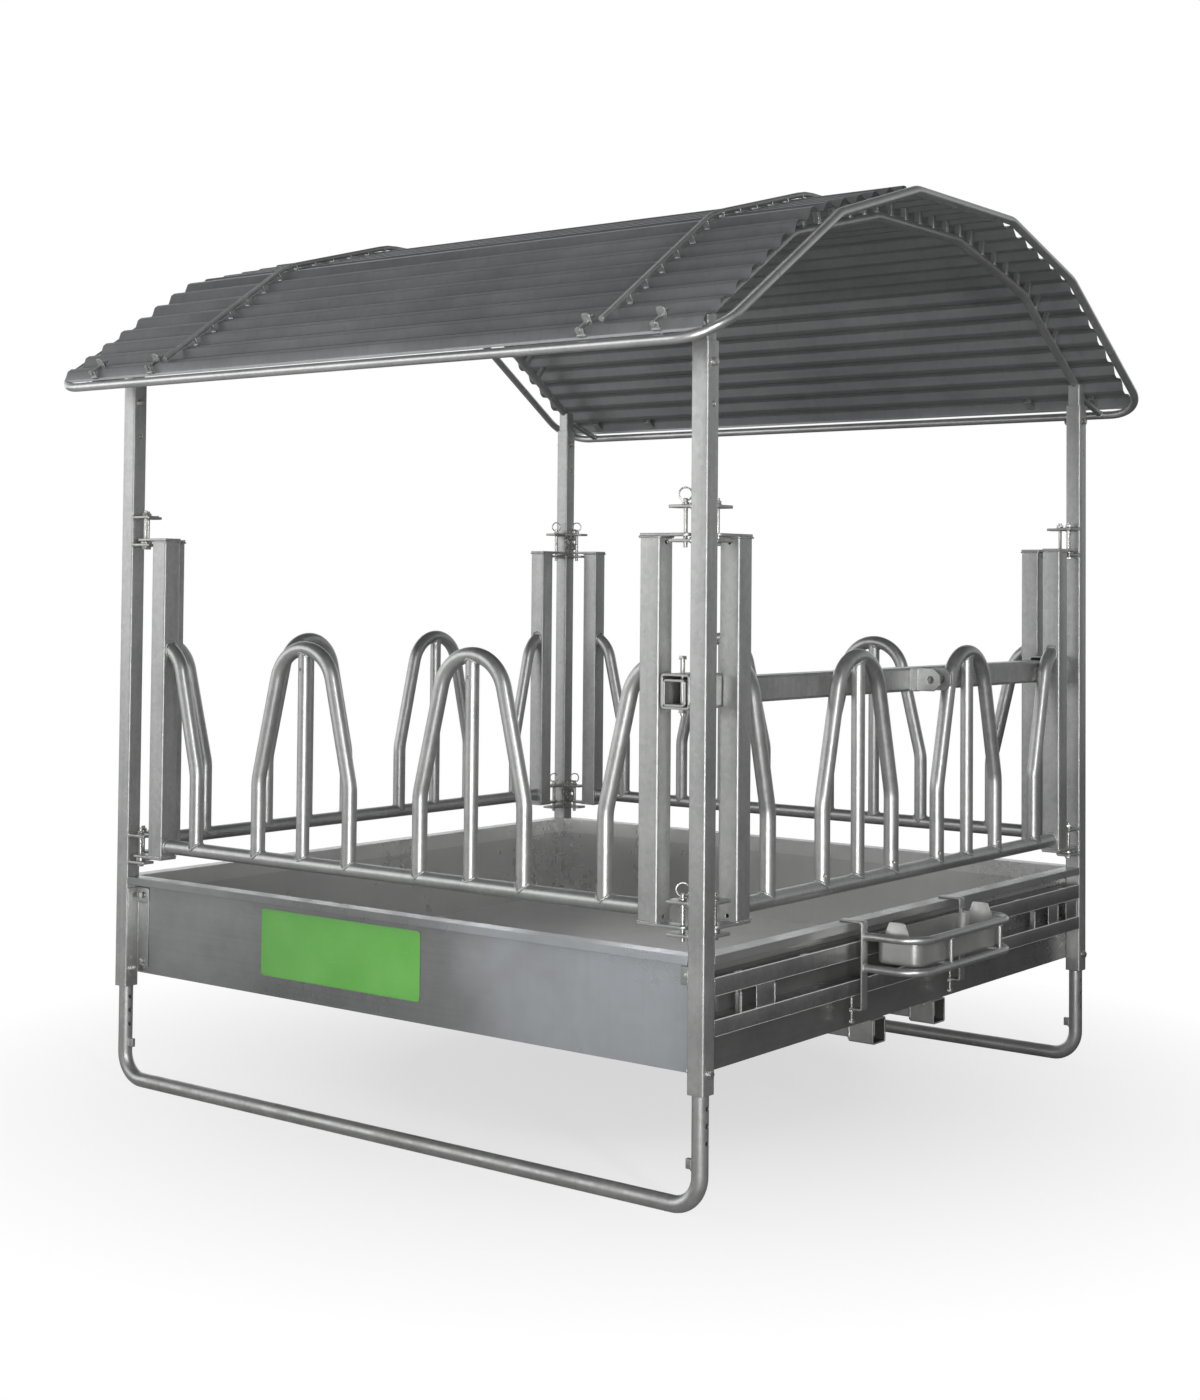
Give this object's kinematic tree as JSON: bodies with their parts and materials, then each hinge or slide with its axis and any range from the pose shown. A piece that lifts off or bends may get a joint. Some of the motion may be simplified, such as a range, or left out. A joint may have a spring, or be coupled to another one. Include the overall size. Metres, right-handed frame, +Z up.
{
  "type": "square bale feeder",
  "caption": "Galvanised square bale feeder: hoop gates on corner posts over a sheet tray, an arched corrugated roof that lifts, height-set skids, fork pockets and a sliding lick holder.",
  "frame": {"origin": "under the middle of the whole feeder, on the ground that the skids stand on", "axes": "+Z up, +X to the side with the lick holder and the hitch bar, -Y to the front gate"},
  "size_m": [2.5494, 2.5664, 2.6643],
  "materials": {
    "galvanised_tube": "hot-dip galvanised, faint spangle, satin",
    "galvanised_sheet": "galvanised sheet, rolled, satin",
    "roof_sheet": "galvanised corrugated sheet, dull",
    "plated_fastener": "zinc plated"
  },
  "bodies": {
    "frame": {"corner_post_front_right": "galvanised_tube", "corner_post_rear_right": "galvanised_tube", "corner_post_rear_left": "galvanised_tube", "corner_post_front_left": "galvanised_tube", "tray_floor": "galvanised_sheet", "tray_panel_right": "galvanised_sheet", "tray_panel_rear": "galvanised_sheet", "tray_panel_left": "galvanised_sheet", "tray_panel_front": "galvanised_sheet", "side_rail_upper": "galvanised_tube", "side_rail_lower": "galvanised_tube", "fork_pocket_front": "galvanised_tube", "fork_pocket_rear": "galvanised_tube", "hitch_bar": "galvanised_tube", "hitch_bolt_front": "plated_fastener", "hitch_bolt_rear": "plated_fastener", "top_link_bracket": "plated_fastener", "right_fence_post_left": "galvanised_tube", "right_fence_post_right": "galvanised_tube", "right_fence_hoop_left": "galvanised_tube", "right_fence_hoop_right": "galvanised_tube", "right_fence_rail": "galvanised_tube"},
    "front_skid": {"skid_front": "galvanised_tube"},
    "rear_skid": {"skid_rear": "galvanised_tube"},
    "front_gate": {"front_gate_post_left": "galvanised_tube", "front_gate_post_right": "galvanised_tube", "front_gate_hoop_left": "galvanised_tube", "front_gate_hoop_right": "galvanised_tube", "front_gate_rail": "galvanised_tube"},
    "rear_gate": {"rear_gate_post_left": "galvanised_tube", "rear_gate_post_right": "galvanised_tube", "rear_gate_hoop_left": "galvanised_tube", "rear_gate_hoop_right": "galvanised_tube", "rear_gate_rail": "galvanised_tube"},
    "left_gate": {"left_gate_post_left": "galvanised_tube", "left_gate_post_right": "galvanised_tube", "left_gate_hoop_left": "galvanised_tube", "left_gate_hoop_right": "galvanised_tube", "left_gate_rail": "galvanised_tube"},
    "front_lower_pin": {"latch_pin_front_lower": "plated_fastener"},
    "front_upper_pin": {"latch_pin_front_upper": "plated_fastener"},
    "rear_lower_pin": {"latch_pin_rear_lower": "plated_fastener"},
    "rear_upper_pin": {"latch_pin_rear_upper": "plated_fastener"},
    "left_lower_pin": {"latch_pin_left_lower": "plated_fastener"},
    "left_upper_pin": {"latch_pin_left_upper": "plated_fastener"},
    "roof": {"eave_tube_front": "galvanised_tube", "eave_tube_rear": "galvanised_tube", "end_arch_left": "galvanised_tube", "end_arch_right": "galvanised_tube", "inner_arch_left": "galvanised_tube", "inner_arch_right": "galvanised_tube", "roof_sheet_front": "roof_sheet", "roof_sheet_top": "roof_sheet", "roof_sheet_rear": "roof_sheet", "hold_down_left": "galvanised_tube", "hold_down_right": "galvanised_tube"},
    "lick_holder": {"lick_holder_frame": "galvanised_tube", "lick_bin": "galvanised_sheet", "lick_clamp_front": "plated_fastener", "lick_clamp_rear": "plated_fastener"}
  },
  "joints": [
    {"name": "front_skid_height", "type": "slide", "parent": "frame", "child": "front_skid", "axis": [0, 0, 1], "range_m": [0, 0.126]},
    {"name": "rear_skid_height", "type": "slide", "parent": "frame", "child": "rear_skid", "axis": [0, 0, 1], "range_m": [0, 0.126]},
    {"name": "front_gate_hinge", "type": "hinge", "parent": "frame", "child": "front_gate", "pos_m": [-1.04925, -1.075, 0.705], "axis": [0, 0, -1], "range_deg": [0, 100]},
    {"name": "rear_gate_hinge", "type": "hinge", "parent": "frame", "child": "rear_gate", "pos_m": [0.98675, 1.075, 0.705], "axis": [0, 0, -1], "range_deg": [0, 100]},
    {"name": "left_gate_hinge", "type": "hinge", "parent": "frame", "child": "left_gate", "pos_m": [-1.10625, -1.018, 0.705], "axis": [0, 0, 1], "range_deg": [0, 100]},
    {"name": "front_lower_pin_lift", "type": "slide", "parent": "frame", "child": "front_lower_pin", "axis": [0, 0, 1], "range_m": [0, 0.1]},
    {"name": "front_upper_pin_lift", "type": "slide", "parent": "frame", "child": "front_upper_pin", "axis": [0, 0, 1], "range_m": [0, 0.1]},
    {"name": "rear_lower_pin_lift", "type": "slide", "parent": "frame", "child": "rear_lower_pin", "axis": [0, 0, 1], "range_m": [0, 0.1]},
    {"name": "rear_upper_pin_lift", "type": "slide", "parent": "frame", "child": "rear_upper_pin", "axis": [0, 0, 1], "range_m": [0, 0.1]},
    {"name": "left_lower_pin_lift", "type": "slide", "parent": "frame", "child": "left_lower_pin", "axis": [0, 0, 1], "range_m": [0, 0.1]},
    {"name": "left_upper_pin_lift", "type": "slide", "parent": "frame", "child": "left_upper_pin", "axis": [0, 0, 1], "range_m": [0, 0.1]},
    {"name": "roof_lift", "type": "slide", "parent": "frame", "child": "roof", "axis": [0, 0, 1], "range_m": [0, 0.105]},
    {"name": "lick_holder_slide", "type": "slide", "parent": "frame", "child": "lick_holder", "axis": [0, 1, 0], "range_m": [-0.55, 0.75]}
  ]
}
